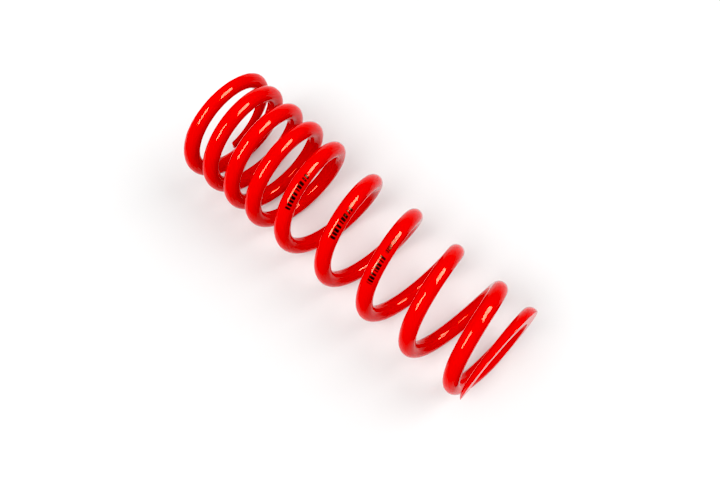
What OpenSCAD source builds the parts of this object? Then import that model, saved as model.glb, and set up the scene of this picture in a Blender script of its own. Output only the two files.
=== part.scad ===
// Progressive-rate suspension coil spring, lying on its side.
// The spring axis is the X axis. x = 0 is the ground seat at the tight-wound end, and the
// seat at the open-wound end is at x = free_length. The wire climbs from the tight-wound end,
// right-handed: it comes over the top towards -Y and goes back along the bottom towards +Y.
// A steel spring moves by bending all along its wire. Here the wire is cut into short
// sections by planes that hold the spring axis, so that each one can slide along the axis
// past its neighbours while the spring is pressed shut.

/* [Wire] */
// Diameter of the round spring wire
wire_d = 14; // [10:0.5:17]

/* [Coil body] */
// Mean diameter of the coil at the tight-wound seat
tight_seat_mean_d = 90.5; // [74:0.5:112]
// Mean diameter of the coil at the open-wound seat
open_seat_mean_d = 82; // [68:0.5:112]
// Free length of the spring from seat to seat
free_length = 315; // [255:1:380]

/* [Winding] */
// Pitch of the tight-wound coils, which close first under load
tight_pitch = 25.6; // [20.5:0.1:31]
// Gap between the wire and the next turn where an end coil is closed
closed_gap = 0.2; // [0.1:0.1:1]
// Turns that lie closed at the tight-wound end
tight_closed_turns = 0.43; // [0.35:0.01:0.6]
// Turns over which the wire leaves the tight-wound seat
lift_turns = 0.84; // [0.6:0.01:1.1]
// Turns at the tight pitch
tight_turns = 2.62; // [2:0.01:3.5]
// Turns over which the pitch grows from tight to open
change_turns = 0.77; // [0.5:0.01:1.1]
// Turns at the open pitch
open_turns = 4.04; // [3.2:0.01:5]
// Turns over which the wire comes down to the open-wound seat
landing_turns = 0.31; // [0.25:0.01:0.4]
// Turns that lie closed at the open-wound end
open_closed_turns = 0.74; // [0.6:0.01:0.9]
// Direction of the wire's tip at the tight-wound end, seen along the axis (270 is the bottom)
start_angle = 270; // [180:1:359]

/* [Ground ends] */
// Wire left under the grinding at the tip of the tight-wound end
tight_tip_thickness = 2.8; // [2:0.1:4.5]
// Wire left under the grinding at the tip of the open-wound end
open_tip_thickness = 3.4; // [2:0.1:4.5]

/* [Sections] */
// Turns in the seat coil at the tight-wound end, which doesn't flex
tight_seat_turns = 1; // [0.9:0.05:1.1]
// Turns in the seat coil at the open-wound end, which doesn't flex
open_seat_turns = 1; // [0.9:0.05:1.1]
// Clearance between the cut faces of two neighbouring sections
slip_gap = 0.05; // [0.02:0.01:0.2]

/* [Hidden] */
NODES = [
    "tight_seat_coil",
    "tight_coil_2a", "tight_coil_2b", "tight_coil_2c", "tight_coil_2d",
    "tight_coil_3a", "tight_coil_3b", "tight_coil_3c", "tight_coil_3d",
    "tight_coil_4a", "tight_coil_4b", "tight_coil_4c", "tight_coil_4d",
    "change_coil_5a",
    "open_coil_5b", "open_coil_5c", "open_coil_5d",
    "open_coil_6a", "open_coil_6b", "open_coil_6c", "open_coil_6d",
    "open_coil_7a", "open_coil_7b", "open_coil_7c", "open_coil_7d",
    "open_coil_8a", "open_coil_8b", "open_coil_8c", "open_coil_8d",
    "open_coil_9a", "open_coil_9b", "open_coil_9c",
    "open_seat_coil"
];

wire_r = wire_d / 2;
closed_pitch = wire_d + closed_gap;
sides = 20;          // facets round the wire
rings_per_turn = 40; // rings of facets along one turn of wire

// Turns, counted along the wire from its tip, where each stretch of the winding ends.
t1 = tight_closed_turns;
t2 = t1 + lift_turns;
t3 = t2 + tight_turns;
t4 = t3 + change_turns;
t5 = t4 + open_turns;
t6 = t5 + landing_turns;
total_turns = t6 + open_closed_turns;

// How much of the wire counts at each pitch. A ramp counts half at each of its two pitches.
at_closed = t1 + lift_turns / 2 + landing_turns / 2 + open_closed_turns;
at_tight = lift_turns / 2 + tight_turns + change_turns / 2;
at_open = change_turns / 2 + open_turns + landing_turns / 2;

// The open pitch fills what the free length leaves.
wire_rise = free_length + 2 * wire_r - tight_tip_thickness - open_tip_thickness;
open_pitch = (wire_rise - closed_pitch * at_closed - tight_pitch * at_tight) / at_open;
tip_x = tight_tip_thickness - wire_r;

// Rise over part of a ramp from pitch p to pitch q that is n turns long, after u turns of it.
function ramp(u, n, p, q) = p * u + (q - p) * u * u / (2 * n);

// Height of the wire's centre above its tip, t turns along the wire.
function rise(t) =
    t <= t1 ? closed_pitch * t :
    t <= t2 ? rise(t1) + ramp(t - t1, lift_turns, closed_pitch, tight_pitch) :
    t <= t3 ? rise(t2) + tight_pitch * (t - t2) :
    t <= t4 ? rise(t3) + ramp(t - t3, change_turns, tight_pitch, open_pitch) :
    t <= t5 ? rise(t4) + open_pitch * (t - t4) :
    t <= t6 ? rise(t5) + ramp(t - t5, landing_turns, open_pitch, closed_pitch) :
    rise(t6) + closed_pitch * (t - t6);

// Pitch of the wire there, in millimetres a turn.
function pitch(t) =
    t <= t1 ? closed_pitch :
    t <= t2 ? closed_pitch + (tight_pitch - closed_pitch) * (t - t1) / lift_turns :
    t <= t3 ? tight_pitch :
    t <= t4 ? tight_pitch + (open_pitch - tight_pitch) * (t - t3) / change_turns :
    t <= t5 ? open_pitch :
    t <= t6 ? open_pitch + (closed_pitch - open_pitch) * (t - t5) / landing_turns :
    closed_pitch;

function coil_x(t) = tip_x + rise(t);
function coil_r(t) =
    (tight_seat_mean_d + (open_seat_mean_d - tight_seat_mean_d) * coil_x(t) / free_length) / 2;
function coil_angle(t) = start_angle + 360 * t;
function lead_angle(t) = atan2(pitch(t), 360 * coil_r(t) * PI / 180);

// One ring of points where the plane through the axis cuts the wire.
function ring(t) =
    let (r = coil_r(t), a = coil_angle(t), half = wire_r / cos(lead_angle(t)))
    [for (i = [0 : sides - 1])
        let (s = 360 * i / sides, out = r + wire_r * cos(s))
        [coil_x(t) + half * sin(s), out * cos(a), out * sin(a)]];

// Solid length of wire between two places on it, both in turns.
module wire(from, to) {
    steps = max(2, ceil((to - from) * rings_per_turn - 0.01));
    points = [for (k = [0 : steps]) each ring(from + (to - from) * k / steps)];
    walls = [for (k = [0 : steps - 1], i = [0 : sides - 1])
        let (j = (i + 1) % sides, a = k * sides, b = a + sides)
        each [[a + i, b + i, b + j], [a + i, b + j, a + j]]];
    start_cap = [for (i = [0 : sides - 1]) i];
    end_cap = [for (i = [sides - 1 : -1 : 0]) steps * sides + i];
    polyhedron(points, concat([start_cap], walls, [end_cap]), convexity = 4);
}

// The flexing wire is cut into as many equal sections as NODES has names for.
section_count = len(NODES) - 2;
flex_turns = total_turns - tight_seat_turns - open_seat_turns;
section_turns = flex_turns / section_count;
function cut(k) = tight_seat_turns + section_turns * k;

// Half of the slip gap, as turns of the coil at place t.
function half_gap(t) = slip_gap / 2 / (2 * PI * coil_r(t));

// Room that the grinding wheel clears beyond a seat.
module grinding(x, side) {
    reach = wire_d + max(tight_seat_mean_d, open_seat_mean_d);
    translate([side > 0 ? x : x - 2 * wire_d, -reach, -reach])
        cube([2 * wire_d, 2 * reach, 2 * reach]);
}

module tight_seat_coil() {
    color("crimson")
    difference() {
        wire(0, tight_seat_turns - half_gap(tight_seat_turns));
        grinding(0, -1);
    }
}

module open_seat_coil() {
    first = total_turns - open_seat_turns;
    color("crimson")
    difference() {
        wire(first + half_gap(first), total_turns);
        grinding(free_length, 1);
    }
}

module flex_section(k) {
    color(k % 2 == 0 ? "red" : "firebrick")
    wire(cut(k) + half_gap(cut(k)), cut(k + 1) - half_gap(cut(k + 1)));
}

tight_seat_coil();
for (k = [0 : section_count - 1])
    flex_section(k);
open_seat_coil();
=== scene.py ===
# %% [markdown]
# # A powder-coated suspension coil spring
#
# The real spring is one steel wire, wound cold over a mandrel, ground flat at both ends and
# coated with gloss red powder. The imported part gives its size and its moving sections. This
# lesson winds the wire again as a smooth tube, coats it, and sets it in a bright studio.

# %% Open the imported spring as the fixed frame
import math

import bmesh
import bpy
import numpy as np
from mathutils import Matrix, Vector


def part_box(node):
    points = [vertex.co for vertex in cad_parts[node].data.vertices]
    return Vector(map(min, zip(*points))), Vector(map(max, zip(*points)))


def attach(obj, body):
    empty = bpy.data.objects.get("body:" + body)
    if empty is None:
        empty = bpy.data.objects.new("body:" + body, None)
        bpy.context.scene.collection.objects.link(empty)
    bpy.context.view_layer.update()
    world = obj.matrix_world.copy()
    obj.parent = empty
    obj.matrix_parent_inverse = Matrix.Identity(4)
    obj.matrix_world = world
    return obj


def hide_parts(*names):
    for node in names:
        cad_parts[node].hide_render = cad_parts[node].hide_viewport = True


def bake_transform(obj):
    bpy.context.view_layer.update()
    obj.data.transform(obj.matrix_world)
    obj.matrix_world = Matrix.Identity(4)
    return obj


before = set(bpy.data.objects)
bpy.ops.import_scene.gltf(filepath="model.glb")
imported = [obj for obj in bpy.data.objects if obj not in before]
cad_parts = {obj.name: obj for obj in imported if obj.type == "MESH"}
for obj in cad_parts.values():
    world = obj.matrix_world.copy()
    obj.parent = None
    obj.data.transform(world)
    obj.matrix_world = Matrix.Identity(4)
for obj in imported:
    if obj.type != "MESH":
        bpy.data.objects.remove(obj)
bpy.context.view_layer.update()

# %% [markdown]
# ## The winding
#
# A spring is drawn by its pitch: how far the wire climbs in one turn. Here the end coils are
# closed, the first coils are tight and the rest are open, with short ramps between them. That
# is a list of places along the wire, counted in turns from its tip, and the pitch at each.
# The open pitch isn't a free choice: it takes up whatever length the other turns leave.

# %% Pitch of the wire along its turns
WIRE_RADIUS = 0.007
TIGHT_END_RADIUS = 0.04525
OPEN_END_RADIUS = 0.041
FREE_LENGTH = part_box("open_seat_coil")[1].x
CLOSED_PITCH = 0.0142
TIGHT_PITCH = 0.0256
TIGHT_TIP, OPEN_TIP = 0.0028, 0.0034  # wire left under the grinding at each tip
# Turns from the tip where the closed wire, its lift, the tight turns, the change, the open
# turns, the landing and the last closed wire begin and end.
BREAKS = np.array([0, 0.43, 1.27, 3.89, 4.66, 8.70, 9.01, 9.75])
TURNS = BREAKS[-1]


def pitches(open_pitch):
    """Pitch at each of BREAKS."""
    closed, tight = [CLOSED_PITCH] * 2, [TIGHT_PITCH] * 2
    return np.array(closed + tight + [open_pitch] * 2 + closed)


def climb(pitch):
    """Height of each of BREAKS above the tip, as each ramp counts half at either pitch."""
    steps = (pitch[1:] + pitch[:-1]) / 2 * np.diff(BREAKS)
    return np.concatenate([[0], np.cumsum(steps)])


wanted = FREE_LENGTH + 2 * WIRE_RADIUS - TIGHT_TIP - OPEN_TIP
other_turns = climb(pitches(0))[-1]
per_open_pitch = climb(np.where(pitches(1) == 1, 1.0, 0.0))[-1]
OPEN_PITCH = (wanted - other_turns) / per_open_pitch
PITCH = pitches(OPEN_PITCH)
HEIGHTS = climb(PITCH)
print("open pitch", round(OPEN_PITCH * 1000, 2), "mm")

# %% Where the wire's centre is, any number of turns along it
START_ANGLE = math.radians(270)  # the tip is at the bottom


def pitch_at(t):
    """Climb in one turn there."""
    return np.interp(t, BREAKS, PITCH)


def coil_x(t):
    """Place along the spring's axis, t turns along the wire."""
    t = np.asarray(t, float)
    k = np.clip(np.searchsorted(BREAKS, t, side="right") - 1, 0, len(BREAKS) - 2)
    u = t - BREAKS[k]
    slope = (PITCH[k + 1] - PITCH[k]) / (BREAKS[k + 1] - BREAKS[k])
    return TIGHT_TIP - WIRE_RADIUS + HEIGHTS[k] + PITCH[k] * u + slope * u * u / 2


def mean_radius(x):
    """Radius of the coil to the wire's centre: it tapers a little towards the open end."""
    return TIGHT_END_RADIUS + (OPEN_END_RADIUS - TIGHT_END_RADIUS) * x / FREE_LENGTH


def coil_r(t):
    """Mean radius there."""
    return mean_radius(coil_x(t))


def lead(t):
    """Angle at which the wire climbs."""
    return np.arctan2(pitch_at(t), 2 * math.pi * coil_r(t))


TABLE_ROWS = 4001
TABLE_TURNS = np.linspace(0, TURNS, TABLE_ROWS)
table_run = np.hypot(2 * math.pi * coil_r(TABLE_TURNS), pitch_at(TABLE_TURNS))
TABLE_LENGTH = np.concatenate(
    [[0], np.cumsum((table_run[1:] + table_run[:-1]) / 2 * np.diff(TABLE_TURNS))]
)


def wire_length(t):
    """Length of wire from the tip to there, in metres."""
    return np.interp(t, TABLE_TURNS, TABLE_LENGTH)


print("the wire is", round(float(wire_length(TURNS)), 3), "m long")

# %% [markdown]
# ## One length of wire
#
# A helix could come from a curve with a round bevel, from the Screw modifier, or from a ring
# of edges that is extruded again and again. The pitch and the radius change along this wire,
# so the last way is chosen: extrude the ring, then carry the new ring to the next station
# with one matrix. A station stands in the plane that holds the axis. Such a plane cuts a
# climbing wire a little long, so the ring is stretched along X by 1 / cos(lead).

# %% A station, and a length of wire swept through its stations
SIDES = 40
RINGS_PER_TURN = 120


def station(t):
    """Carries a ring drawn in the XY plane to its place on the wire."""
    stretch = 1 / math.cos(lead(t))
    stand = Matrix(((0, stretch, 0, 0), (1, 0, 0, coil_r(t)), (0, 0, -1, 0), (0, 0, 0, 1)))
    turn = Matrix.Rotation(START_ANGLE + 2 * math.pi * t, 4, "X")
    return Matrix.Translation((coil_x(t), 0, 0)) @ turn @ stand


def sweep_wire(start, end):
    """A closed length of wire as a bmesh, from one place on it to another."""
    bm = bmesh.new()
    bmesh.ops.create_circle(bm, cap_ends=True, radius=WIRE_RADIUS, segments=SIDES)
    bmesh.ops.transform(bm, matrix=station(start), verts=bm.verts)
    ring = bm.edges[:]
    stops = np.linspace(start, end, max(2, round((end - start) * RINGS_PER_TURN)) + 1)
    for here, there in zip(stops, stops[1:]):
        made = bmesh.ops.extrude_edge_only(bm, edges=ring)["geom"]
        verts = [g for g in made if isinstance(g, bmesh.types.BMVert)]
        moved = set(verts)
        edges = [g for g in made if isinstance(g, bmesh.types.BMEdge)]
        ring = [edge for edge in edges if moved.issuperset(edge.verts)]
        bmesh.ops.transform(bm, matrix=station(there) @ station(here).inverted(), verts=verts)
    bmesh.ops.contextual_create(bm, geom=ring)
    bmesh.ops.recalc_face_normals(bm, faces=bm.faces)
    for face in bm.faces:
        face.smooth = len(face.verts) == 4
    return bm


# %% [markdown]
# ## Ground ends
#
# The last coil at each end is ground flat, so that the spring stands square on its seat. The
# wheel leaves a long crescent of flat that starts at the wire's tip and runs out to nothing
# three quarters of a turn on. Cutting with a plane and filling the cut gives just that. The
# coating rounds the edges of the cut and of the sawn tip, so they get a very small bevel. The
# crescent's thin horn has no room for one, and its edges are almost gone there anyway.

# %% Grind one end flat
FLAT_SLOT = 1  # material slot of ground and sawn faces
EDGE_ROUND = 0.00035
NARROW = 0.0017  # half the crescent's width where the bevel stops
SLIVER = 0.000004  # faces thinner than this are closed up
SAME_POINT = 0.000001  # points this close to the cut lie on it


def grind(bm, x, side, tip):
    """Takes away what stands beyond the seat at x, which faces side, and rounds the edges."""
    cut = bmesh.ops.bisect_plane(
        bm,
        geom=bm.verts[:] + bm.edges[:] + bm.faces[:],
        plane_co=(x, 0, 0),
        plane_no=(side, 0, 0),
        clear_outer=True,
        dist=SAME_POINT,
    )
    rim = [g for g in cut["geom_cut"] if isinstance(g, bmesh.types.BMEdge)]
    flat = bmesh.ops.contextual_create(bm, geom=rim)["faces"][0]
    caps = [face for face in bm.faces if len(face.verts) > 4 and face is not flat]
    wire_tip = station(tip).translation
    sawn = min(caps, key=lambda face: (face.calc_center_median() - wire_tip).length)
    for face in (flat, sawn):
        face.material_index = FLAT_SLOT
        face.smooth = False
    mean = mean_radius(x)
    # Only where the flat is wide enough for a bevel.
    wide = [e for e in rim if all(abs(math.hypot(*v.co.yz) - mean) > NARROW for v in e.verts)]
    edges = list(dict.fromkeys(wide + list(sawn.edges)))  # each edge once, in a fixed order
    bevelled = bmesh.ops.bevel(
        bm,
        geom=edges,
        offset=EDGE_ROUND,
        offset_type="OFFSET",
        segments=3,
        profile=0.5,
        affect="EDGES",
        clamp_overlap=False,
        material=-1,
    )
    for face in bevelled["faces"]:
        face.smooth = True
    ground = [face for face in bm.faces if face.material_index == FLAT_SLOT]
    big = [face for face in ground if len(face.verts) > 4]
    print("ground face of", round(max(face.calc_area() for face in big) * 1e6), "square mm")
    bmesh.ops.triangulate(bm, faces=big, ngon_method="BEAUTY")
    bmesh.ops.dissolve_degenerate(bm, dist=SLIVER, edges=bm.edges)


def open_edges(bm):
    return [edge for edge in bm.edges if len(edge.link_faces) != 2]


# %% [markdown]
# ## Knowing the place of each point on the wire
#
# Patterns and printing need to know where a point lay on the straight wire
# before it was coiled: how far along, and where round it. That can be worked out from the
# finished point: its angle about the axis gives the part of a turn, and the nearest turn of
# the wire gives which one.

# %% From a point in space to its place on the wire
SPARE = 0.02  # turns that a point may lie beyond the ends of its piece
RULED_OUT = 9.0  # metres, more than any real distance here


def turns_of(points, start, end):
    """How many turns along the wire each point lies, within one length of it."""
    part = ((np.arctan2(points[:, 2], points[:, 1]) - START_ANGLE) / (2 * math.pi)) % 1
    choices = part[:, None] + np.arange(-1, math.ceil(TURNS) + 1)[None]
    allowed = (choices > start - SPARE) & (choices < end + SPARE)
    distance = np.abs(coil_x(np.clip(choices, 0, TURNS)) - points[:, :1])
    nearest = (distance + RULED_OUT * ~allowed).argmin(1)
    return np.clip(choices[np.arange(len(points)), nearest], 0, TURNS)


def straight_place(points, turns):
    """Each point on the wire before coiling: X along it, Y outward and Z across, in metres."""
    out = np.hypot(points[:, 1], points[:, 2]) - coil_r(turns)
    across = (points[:, 0] - coil_x(turns)) * np.cos(lead(turns))
    return np.stack([wire_length(turns), out, across], 1)


def wire_normals(points, turns):
    """The true outward direction of the round wire at each point."""
    place = straight_place(points, turns)
    angle = START_ANGLE + 2 * math.pi * turns
    outward = np.stack([0 * angle, np.cos(angle), np.sin(angle)], 1)
    forward = np.stack([0 * angle, -np.sin(angle), np.cos(angle)], 1)
    climb_angle = lead(turns)[:, None]
    sideways = np.array([1.0, 0, 0]) * np.cos(climb_angle) - forward * np.sin(climb_angle)
    normal = outward * place[:, 1:2] + sideways * place[:, 2:3]
    return normal / np.linalg.norm(normal, axis=1, keepdims=True)


# %% [markdown]
# ## Ten coils
#
# The spring is made as ten pieces, one for each turn; only the two seat coils are attached to
# moving sections of the imported part. They meet end to end. A smooth-shaded mesh guesses its
# normals from its own faces only, which would leave a faint line at each joint, so the rings at
# the joints are given the round wire's true normals.

# %% The pieces, where each starts and ends, and what it stands for
def quarters(group, turn, letters):
    return [f"{group}_coil_{turn}{q}" for q in letters]


HUB = 4.125  # middle of the section between the tight coils and the open ones
COILS = [
    ("coil_1_tight_seat", 0, 1, ["tight_seat_coil"]),
    ("coil_2_tight", 1, 2, quarters("tight", 2, "abcd")),
    ("coil_3_tight", 2, 3, quarters("tight", 3, "abcd")),
    ("coil_4_tight", 3, HUB, quarters("tight", 4, "abcd")),
    ("coil_5_open", HUB, 5, ["change_coil_5a"] + quarters("open", 5, "bcd")),
    ("coil_6_open", 5, 6, quarters("open", 6, "abcd")),
    ("coil_7_open", 6, 7, quarters("open", 7, "abcd")),
    ("coil_8_open", 7, 8, quarters("open", 8, "abcd")),
    ("coil_9_open", 8, TURNS - 1, quarters("open", 9, "abc")),
    ("coil_10_open_seat", TURNS - 1, TURNS, ["open_seat_coil"]),
]
AT_JOINT = 0.0001  # turns from a piece's end within which a point is on its last ring


def points_of(mesh):
    flat = np.empty(len(mesh.vertices) * 3, np.float32)
    mesh.vertices.foreach_get("co", flat)
    return flat.reshape(-1, 3).astype(float)


def dress_mesh(mesh, start, end):
    """Stores the straight-wire place of each point, and true normals at joints."""
    points = points_of(mesh)
    turns = turns_of(points, start, end)
    place = mesh.attributes.new("wire_place", "FLOAT_VECTOR", "POINT")
    place.data.foreach_set("vector", straight_place(points, turns).astype(np.float32).ravel())
    at_joint = np.zeros(len(points), bool)
    for joint in (start, end):
        if 0 < joint < TURNS:
            at_joint |= np.abs(turns - joint) < AT_JOINT
    true = wire_normals(points, turns)
    normals = np.zeros((len(mesh.loops), 3))  # zero keeps the normal that shading gives
    for polygon in mesh.polygons:
        if not polygon.use_smooth:
            continue
        for loop in polygon.loop_indices:
            vertex = mesh.loops[loop].vertex_index
            if at_joint[vertex]:
                normals[loop] = true[vertex]
    mesh.normals_split_custom_set([tuple(normal) for normal in normals])
    return turns


wire_pieces = {}
for name, start, end, _ in COILS:
    bm = sweep_wire(start, end)
    if start == 0:
        grind(bm, 0, -1, 0)
    if end == TURNS:
        grind(bm, FREE_LENGTH, 1, TURNS)
    left_open = len(open_edges(bm))
    mesh = bpy.data.meshes.new(name)
    bm.to_mesh(mesh)
    bm.free()
    piece = bpy.data.objects.new(name, mesh)
    bpy.context.scene.collection.objects.link(piece)
    wire_pieces[name] = (piece, dress_mesh(mesh, start, end))
    print(name, len(mesh.polygons), "faces,", left_open, "open edges")

# %% [markdown]
# ## How the coils close
#
# In the imported part a seat coil and a change coil are pushed together, and short sections
# between them follow in steps. Here the two seat coils are attached to their sections, and the
# other pieces are attached to none.


def bend_between(piece):
    """Bakes the piece's transform into its mesh, and leaves it attached to no body."""
    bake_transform(piece)


for name, start, end, nodes in COILS:
    piece, turns = wire_pieces[name]
    if start == 0:
        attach(piece, "tight_seat_coil")
    elif end == TURNS:
        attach(piece, "open_seat_coil")
    elif end <= HUB:
        bend_between(piece)
    else:
        bend_between(piece)
    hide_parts(*nodes)
    print(name, "stands for", len(nodes), "sections of the packed part")

# %% [markdown]
# ## Node helpers
#
# Materials are built in code, so a few helpers keep the cells short. The first adds a node,
# then sets each of its sockets to a value or joins it to another node. The others are the
# kinds of node that come up again and again: arithmetic, noise, a mix of two colours, a bump
# and a shader with its output.

# %% Helpers for node trees
def add_node(tree, kind, values=None, **settings):
    """Adds a node. Each socket in values gets a value, or a link from another node."""
    node = tree.nodes.new(kind)
    for key, value in settings.items():
        setattr(node, key, value)
    for socket, value in (values or {}).items():
        if isinstance(value, bpy.types.NodeSocket):
            tree.links.new(value, node.inputs[socket])
        else:
            node.inputs[socket].default_value = value
    return node


def math_node(tree, operation, a, b=0.0, c=0.0, clamp=False):
    values = {0: a, 1: b, 2: c}
    node = add_node(tree, "ShaderNodeMath", values, operation=operation, use_clamp=clamp)
    return node.outputs[0]


def noise(tree, place, scale, detail, roughness=0.5):
    """Soft noise from 0 to 1, with about scale patches in a metre."""
    values = {"Vector": place, "Scale": scale, "Detail": detail, "Roughness": roughness}
    return add_node(tree, "ShaderNodeTexNoise", values).outputs["Fac"]


def mix_colours(tree, share, first, second):
    values = {0: share, 6: first, 7: second}
    return add_node(tree, "ShaderNodeMix", values, data_type="RGBA").outputs[2]


def bumped(tree, height, depth, strength=1.0):
    values = {"Height": height, "Distance": depth, "Strength": strength}
    return add_node(tree, "ShaderNodeBump", values).outputs["Normal"]


def finish_material(tree, sockets):
    shader = add_node(tree, "ShaderNodeBsdfPrincipled", sockets)
    add_node(tree, "ShaderNodeOutputMaterial", {0: shader.outputs[0]})


def new_material(name):
    material = bpy.data.materials.new(name)
    material.use_nodes = True
    material.node_tree.nodes.clear()
    return material, material.node_tree


# %% [markdown]
# ## Plain printed marks
#
# Such springs carry a line of ink print on the front of three coils. Here it is a plain row
# of bars of uneven width, which says nothing. Each row is placed by its length of wire and
# its angle round it, where 0 degrees faces straight out from the axis.

# %% Rows of bars as a mask from 0 to 1
PRINT_ROWS = [  # start and end in turns, angle in degrees, height, width of a bar and its gap
    (4.511, 4.614, 33, 0.0046, 0.0030),
    (5.500, 5.596, 36, 0.0046, 0.0030),
    (6.542, 6.621, 22, 0.0048, 0.0026),
    (6.476, 6.530, 22, 0.0034, 0.0016),
]
NARROWEST_BAR = 0.40  # share of that width which the thinnest bar fills
BAR_SPREAD = 0.45  # how much more the widest bar fills
EDGE = 0.00012  # softness of the print's edge, in metres


def within(tree, value, low, high, soft):
    """1 between low and high, with soft edges."""
    rise = math_node(tree, "MULTIPLY_ADD", value, 1 / soft, -low / soft + 0.5, clamp=True)
    fall = math_node(tree, "MULTIPLY_ADD", value, -1 / soft, high / soft + 0.5, clamp=True)
    return math_node(tree, "MULTIPLY", rise, fall)


def printed_row(tree, along, round_angle, row):
    """1 on the bars of one row, 0 elsewhere."""
    start, end, angle, height, cell = row
    low, high = float(wire_length(start)), float(wire_length(end))
    steps = math_node(tree, "MULTIPLY_ADD", along, 1 / cell, -low / cell)
    number = math_node(tree, "FLOOR", steps)
    dice = add_node(tree, "ShaderNodeTexWhiteNoise", {"W": number}, noise_dimensions="1D")
    chance = dice.outputs["Value"]
    width = math_node(tree, "MULTIPLY_ADD", chance, BAR_SPREAD, NARROWEST_BAR)
    into = math_node(tree, "FRACT", steps)
    bar_left = math_node(tree, "SUBTRACT", width, into)
    bar_end = math_node(tree, "MULTIPLY", bar_left, cell / EDGE, clamp=True)
    bar_start = math_node(tree, "MULTIPLY", into, cell / EDGE, clamp=True)
    bar = math_node(tree, "MULTIPLY", bar_end, bar_start)
    middle, half = math.radians(angle), height / 2 / WIRE_RADIUS
    band = within(tree, round_angle, middle - half, middle + half, EDGE / WIRE_RADIUS)
    length = within(tree, along, low, high, EDGE)
    return math_node(tree, "MULTIPLY", math_node(tree, "MULTIPLY", bar, band), length)


print(len(PRINT_ROWS), "rows of plain bars on the coils")

# %% [markdown]
# ## Gloss red powder coat
#
# Powder coat is melted plastic: deep, even colour under a hard gloss, with a faint orange
# peel where the melt drew together. One Principled shader does it, as a second clear layer
# would show its own streaks. Its roughness is low, and the peel is a bump with patches about
# a millimetre and a half wide and a micrometre deep. All patterns are laid on the
# straight-wire places, so that they wrap round the wire with no seam and stay put when the
# spring closes.

# %% The coat on the wire
DEEP_RED = (0.59, 0.0004, 0.0003, 1)
BRIGHT_RED = (0.65, 0.0010, 0.0007, 1)
INK = (0.010, 0.008, 0.008, 1)
CLOUDS, GRAIN, PEEL = 55, 160, 620  # patches in a metre of colour, of gloss and of peel
PEEL_DEPTH = 0.0000012
INK_STANDS = 0.4  # how far the ink stands up, as a share of the peel's depth
GLOSS_ROUGHNESS = 0.06
GLOSS_SPREAD = 0.05
INK_ROUGHER = 0.22  # what the ink adds to the coat's roughness
COAT_IOR = 1.3
WARM_GLINT = (1.0, 0.5, 0.45, 1)  # the red tint of light mirrored in the coat


def powder_coat():
    material, tree = new_material("gloss_red_powder_coat")
    place = add_node(tree, "ShaderNodeAttribute", attribute_name="wire_place").outputs["Vector"]
    axes = add_node(tree, "ShaderNodeSeparateXYZ", {0: place}).outputs
    round_angle = math_node(tree, "ARCTAN2", axes["Z"], axes["Y"])
    rows = [printed_row(tree, axes["X"], round_angle, row) for row in PRINT_ROWS]
    ink = rows[0]
    for row in rows[1:]:
        ink = math_node(tree, "MAXIMUM", ink, row)
    cloud = noise(tree, place, CLOUDS, detail=3, roughness=0.55)
    red = mix_colours(tree, cloud, DEEP_RED, BRIGHT_RED)
    grain = noise(tree, place, GRAIN, detail=2)
    smoothest = GLOSS_ROUGHNESS - GLOSS_SPREAD / 2
    gloss = math_node(tree, "MULTIPLY_ADD", grain, GLOSS_SPREAD, smoothest)
    peel = noise(tree, place, PEEL, detail=1.5, roughness=0.4)
    height = math_node(tree, "MULTIPLY_ADD", ink, INK_STANDS, peel)
    sockets = {
        "Base Color": mix_colours(tree, ink, red, INK),
        "Roughness": math_node(tree, "MULTIPLY_ADD", ink, INK_ROUGHER, gloss),
        "Normal": bumped(tree, height, PEEL_DEPTH),
        "IOR": COAT_IOR,
        "Specular Tint": WARM_GLINT,
    }
    finish_material(tree, sockets)
    return material


red_coat = powder_coat()
print(red_coat.name, "has", len(red_coat.node_tree.nodes), "nodes")

# %% [markdown]
# ## Coat over ground steel
#
# The seats are ground before coating, and the thin coat there lets the wheel's fine lines
# show through. The lines are noise stretched along Y, on Object coordinates, because the
# wheel runs straight across the end and doesn't follow the wire.

# %% The coat on the ground and sawn faces
THIN_RED = (0.60, 0.0010, 0.0007, 1)
PALE_RED = (0.80, 0.004, 0.003, 1)
WHEEL_LINES = (900, 60, 1500)  # lines in a metre along X, Y and Z
LINE_DEPTH = 0.000025
FLAT_ROUGHNESS = 0.12
LINES_ROUGHER = 0.16
FLAT_IOR = 1.5


def ground_coat():
    material, tree = new_material("red_coat_over_ground_steel")
    place = add_node(tree, "ShaderNodeTexCoord").outputs["Object"]
    values = {"Vector": place, "Scale": WHEEL_LINES}
    stretched = add_node(tree, "ShaderNodeMapping", values).outputs[0]
    lines = noise(tree, stretched, 1.0, detail=4)
    sockets = {
        "Base Color": mix_colours(tree, lines, THIN_RED, PALE_RED),
        "Roughness": math_node(tree, "MULTIPLY_ADD", lines, LINES_ROUGHER, FLAT_ROUGHNESS),
        "Normal": bumped(tree, lines, LINE_DEPTH),
        "IOR": FLAT_IOR,
    }
    finish_material(tree, sockets)
    return material


flat_coat = ground_coat()
for piece, _ in wire_pieces.values():
    piece.data.materials.append(red_coat)
    piece.data.materials.append(flat_coat)
print(len(wire_pieces), "pieces coated")

# %% [markdown]
# ## Floor
#
# The spring lies on a seamless white sheet. It is wider at one end, so a level spring would
# touch at that end only. The sheet could be curved, but tipping it by under a degree lays it
# along both ends. It glows a little, which keeps it white around the soft shadows.

# %% A seamless white sheet under the spring
SHEET_SIZE = 12
GAP_UNDER = 0.00005
PAPER_WHITE = (0.575, 0.58, 0.58, 1)
PAPER_GLOW = 0.14
PAPER_ROUGHNESS = 0.9
FIBRE = 400  # patches of fibre in a metre
FIBRE_DEPTH = 0.0001
FIBRE_SHOWS = 0.2  # strength of the fibre's bump


def under_side(x):
    """Height of the coils' lowest line at x."""
    return -(mean_radius(x) + WIRE_RADIUS)


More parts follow.
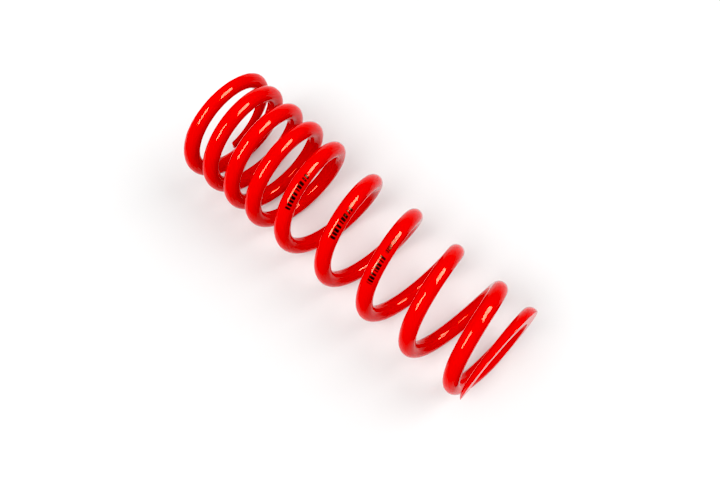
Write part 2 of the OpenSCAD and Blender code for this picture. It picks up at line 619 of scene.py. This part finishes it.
bm = bmesh.new()
bmesh.ops.create_grid(bm, x_segments=8, y_segments=8, size=SHEET_SIZE / 2)
tip = math.atan2(under_side(FREE_LENGTH) - under_side(0), FREE_LENGTH)
bmesh.ops.rotate(bm, cent=(0, 0, 0), matrix=Matrix.Rotation(-tip, 3, "Y"), verts=bm.verts)
bmesh.ops.translate(bm, vec=(0, 0, under_side(0) - GAP_UNDER), verts=bm.verts)
floor_mesh = bpy.data.meshes.new("seamless_sheet")
bm.to_mesh(floor_mesh)
bm.free()
floor = bpy.data.objects.new("seamless_sheet", floor_mesh)
bpy.context.scene.collection.objects.link(floor)

paper, tree = new_material("white_sheet")
place = add_node(tree, "ShaderNodeTexCoord").outputs["Object"]
fibre = noise(tree, place, FIBRE, detail=2)
sockets = {
    "Base Color": PAPER_WHITE,
    "Roughness": PAPER_ROUGHNESS,
    "Specular IOR Level": 0.0,
    "Normal": bumped(tree, fibre, FIBRE_DEPTH, FIBRE_SHOWS),
    "Emission Color": (1, 1, 1, 1),
    "Emission Strength": PAPER_GLOW,
}
finish_material(tree, sockets)
floor_mesh.materials.append(paper)
print("the sheet is tipped", round(math.degrees(tip), 2), "degrees")

# %% [markdown]
# ## Studio light
#
# A glossy wire shows its lights as streaks, so each soft box does two jobs that are easier to
# set apart. Suns with a wide disc give the soft light and soft shadows, and the coat
# doesn't mirror them. Two boxes close by are seen only in the coat, where they draw the
# streaks. A weak fill from above opens the shadows. The room is dark overhead and pale at
# the horizon, which leaves the tops of the coils pure red with pale rims.

# %% Suns, mirrored soft boxes and fill
MIDDLE = Vector((FREE_LENGTH / 2, 0, 0))
SIDE_BOX = Vector((0.407, 0.297, 0.430))
FRONT_BOX = Vector((0.127, -0.360, 0.570))
SUNS = [  # name, place it shines from, strength, width of its disc in degrees
    ("side_sun", SIDE_BOX, 1.55, 40),
    ("front_sun", FRONT_BOX, 2.35, 40),
    ("end_sun", Vector((-0.30, 0.0, 0.55)), 0.75, 60),
    ("low_back_sun", Vector((0.25, 0.60, 0.24)), 0.9, 75),
    ("low_front_sun", Vector((0.10, -0.60, 0.24)), 0.5, 75),
]
MIRRORED_BOXES = [  # name, place, width, height, brightness, turn about its aim in degrees
    ("side_box", SIDE_BOX, 0.335, 0.30, 52.0, 46),
    ("front_box", FRONT_BOX, 0.235, 0.438, 50.0, 3),
]
BOX_COLOUR = (1.0, 0.86, 0.62)
FILL_PLACE = Vector((0.15, 0.0, 2.2))
FILL_SIZE = 4.0
FILL_BRIGHTNESS = 0.05


def add_light(name, kind, place, spin=0.0, **settings):
    """A light at place that faces the spring's middle, turned by spin about its own aim."""
    data = bpy.data.lights.new(name, kind)
    for key, value in settings.items():
        setattr(data, key, value)
    light = bpy.data.objects.new(name, data)
    towards = (MIDDLE - place).to_track_quat("-Z", "Y").to_matrix().to_4x4()
    light.matrix_world = Matrix.Translation(place) @ towards @ Matrix.Rotation(spin, 4, "Z")
    light.visible_camera = False
    bpy.context.scene.collection.objects.link(light)
    return light


def soft_sun(name, place, strength, disc):
    sun = add_light(name, "SUN", place, energy=strength, angle=math.radians(disc))
    sun.visible_glossy = False


def box_power(brightness, width, height):
    """Power that gives an area light this brightness."""
    return brightness * math.pi * width * height


def mirrored_box(name, place, width, height, brightness, turn):
    """A soft box seen only in the coat."""
    power = box_power(brightness, width, height)
    size = {"shape": "RECTANGLE", "size": width, "size_y": height}
    box = add_light(name, "AREA", place, math.radians(turn), energy=power, **size)
    box.data.color = BOX_COLOUR
    box.visible_diffuse = False


for sun in SUNS:
    soft_sun(*sun)
for box in MIRRORED_BOXES:
    mirrored_box(*box)
fill_power = box_power(FILL_BRIGHTNESS, FILL_SIZE, FILL_SIZE)
fill = add_light(
    "overhead_fill", "AREA", FILL_PLACE, shape="SQUARE", size=FILL_SIZE, energy=fill_power
)
fill.visible_glossy = False
print(len(SUNS), "suns,", len(MIRRORED_BOXES), "mirrored boxes and one fill")

# %% The room around, as a ramp from the horizon to overhead
HORIZON = (1.20, 1.20, 1.17, 1)
OVERHEAD = (0.02, 0.02, 0.02, 1)
RAMP = ((0.12, HORIZON), (0.50, OVERHEAD))  # where each is reached: 0 level, 1 straight up

world = bpy.data.worlds.new("studio_room")
bpy.context.scene.world = world
world.use_nodes = True
tree = world.node_tree
tree.nodes.clear()
sky = add_node(tree, "ShaderNodeTexCoord").outputs["Generated"]
height = add_node(tree, "ShaderNodeSeparateXYZ", {0: sky}).outputs["Z"]
ramp = add_node(tree, "ShaderNodeValToRGB", {0: height})
for stop, (position, colour) in zip(ramp.color_ramp.elements, RAMP):
    stop.position = position
    stop.color = colour
room = add_node(tree, "ShaderNodeBackground", {0: ramp.outputs[0], 1: 1.0})
add_node(tree, "ShaderNodeOutputWorld", {0: room.outputs[0]})
print("the room goes from", HORIZON[:3], "at the horizon to", OVERHEAD[:3])

# %% [markdown]
# ## Camera
#
# The camera looks down at the lying spring from the open end's near side, with a 45 mm lens.
# A small shift puts the spring a little left of and above the middle of the frame.

# %% Camera
LOOK_AT = Vector((0.14894, 0, 0))
DISTANCE = 0.76103
AIM = Vector((-0.28190, 0.26494, -0.92214)).normalized()
ROLL = math.radians(-3.729)
LENS_MM, SENSOR_MM = 45.0, 36.0
SHIFT_X, SHIFT_Y = 0.0185, -0.0199
NEAREST, FARTHEST = 0.01, 40

camera_data = bpy.data.cameras.new("camera")
camera_data.lens, camera_data.sensor_width = LENS_MM, SENSOR_MM
camera_data.shift_x, camera_data.shift_y = SHIFT_X, SHIFT_Y
camera_data.clip_start, camera_data.clip_end = NEAREST, FARTHEST
camera = bpy.data.objects.new("camera", camera_data)
level = AIM.to_track_quat("-Z", "Y").to_matrix().to_4x4()
camera.matrix_world = (
    Matrix.Translation(LOOK_AT - AIM * DISTANCE) @ level @ Matrix.Rotation(ROLL, 4, "Z")
)
bpy.context.scene.collection.objects.link(camera)
bpy.context.scene.camera = camera
print("camera axes", [[round(x, 4) for x in row] for row in camera.matrix_world])

# %% [markdown]
# ## Black point and white point
#
# The view transform turns light into screen colours. A filmic one bends a strong red towards
# pink and grey, so the plain Standard one is chosen. The view's curves then move its black
# and white points in a little, which deepens the red and clears the floor.

# %% Plain colours, with a black and a white point
BLACK_POINT, WHITE_POINT = 0.03, 0.96

view = bpy.context.scene.view_settings
view.view_transform = "Standard"
view.look = "None"
view.use_curve_mapping = True
view.curve_mapping.black_level = (BLACK_POINT,) * 3
view.curve_mapping.white_level = (WHITE_POINT,) * 3
view.curve_mapping.update()
print("black point", BLACK_POINT, "and white point", WHITE_POINT)
